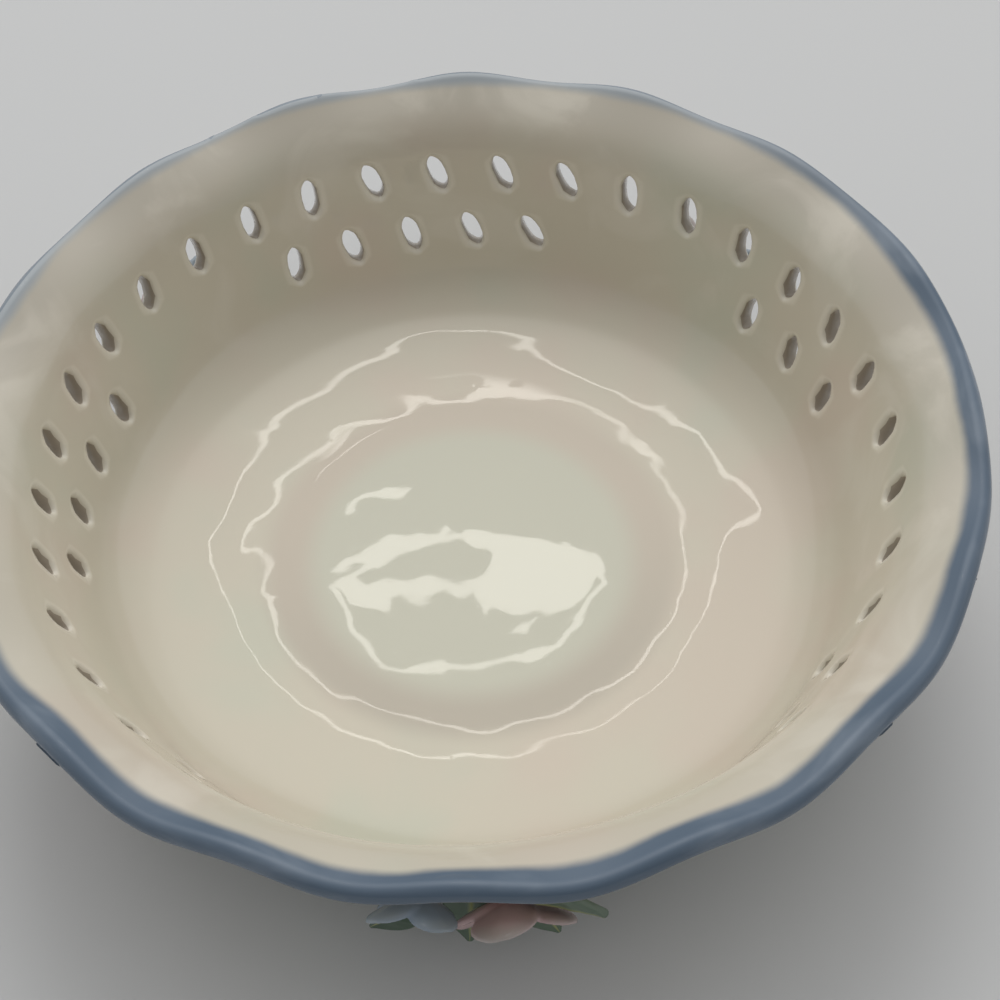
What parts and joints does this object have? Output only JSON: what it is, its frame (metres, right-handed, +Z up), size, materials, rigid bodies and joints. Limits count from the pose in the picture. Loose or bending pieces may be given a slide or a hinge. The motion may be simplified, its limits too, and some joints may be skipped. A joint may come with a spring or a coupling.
{
  "type": "pierced candy bowl",
  "caption": "Shallow glazed ceramic candy bowl with a waved blue lip, a pierced wall with rows of leaf-shaped holes, a foot ring and applied flower posies outside.",
  "frame": {"origin": "centre of the foot ring's underside, on the table", "axes": "+Z up out of the bowl, -Y towards the viewer of the picture and the front posy, +X to the viewer's right"},
  "size_m": [0.16, 0.16, 0.0498],
  "materials": {
    "cream_glaze": "glossy glaze",
    "blue_glaze": "glossy glaze",
    "pink_glaze": "glossy glaze",
    "yellow_glaze": "glossy glaze",
    "green_glaze": "glossy glaze"
  },
  "bodies": {
    "root": {"bowl_body": "cream_glaze", "foot_ring": "cream_glaze", "blue_flower_1": "blue_glaze", "blue_button_1": "yellow_glaze", "pink_flower_1": "pink_glaze", "pink_button_1": "yellow_glaze", "right_leaf_1": "green_glaze", "left_leaf_1": "green_glaze", "middle_leaf_1": "green_glaze", "front_leaf_1": "green_glaze", "blue_flower_2": "blue_glaze", "blue_button_2": "yellow_glaze", "pink_flower_2": "pink_glaze", "pink_button_2": "yellow_glaze", "right_leaf_2": "green_glaze", "left_leaf_2": "green_glaze", "middle_leaf_2": "green_glaze", "front_leaf_2": "green_glaze", "blue_flower_3": "blue_glaze", "blue_button_3": "yellow_glaze", "pink_flower_3": "pink_glaze", "pink_button_3": "yellow_glaze", "right_leaf_3": "green_glaze", "left_leaf_3": "green_glaze", "middle_leaf_3": "green_glaze", "front_leaf_3": "green_glaze", "blue_flower_4": "blue_glaze", "blue_button_4": "yellow_glaze", "pink_flower_4": "pink_glaze", "pink_button_4": "yellow_glaze", "right_leaf_4": "green_glaze", "left_leaf_4": "green_glaze", "middle_leaf_4": "green_glaze", "front_leaf_4": "green_glaze", "blue_flower_5": "blue_glaze", "blue_button_5": "yellow_glaze", "pink_flower_5": "pink_glaze", "pink_button_5": "yellow_glaze", "right_leaf_5": "green_glaze", "left_leaf_5": "green_glaze", "middle_leaf_5": "green_glaze", "front_leaf_5": "green_glaze"}
  },
  "joints": []
}
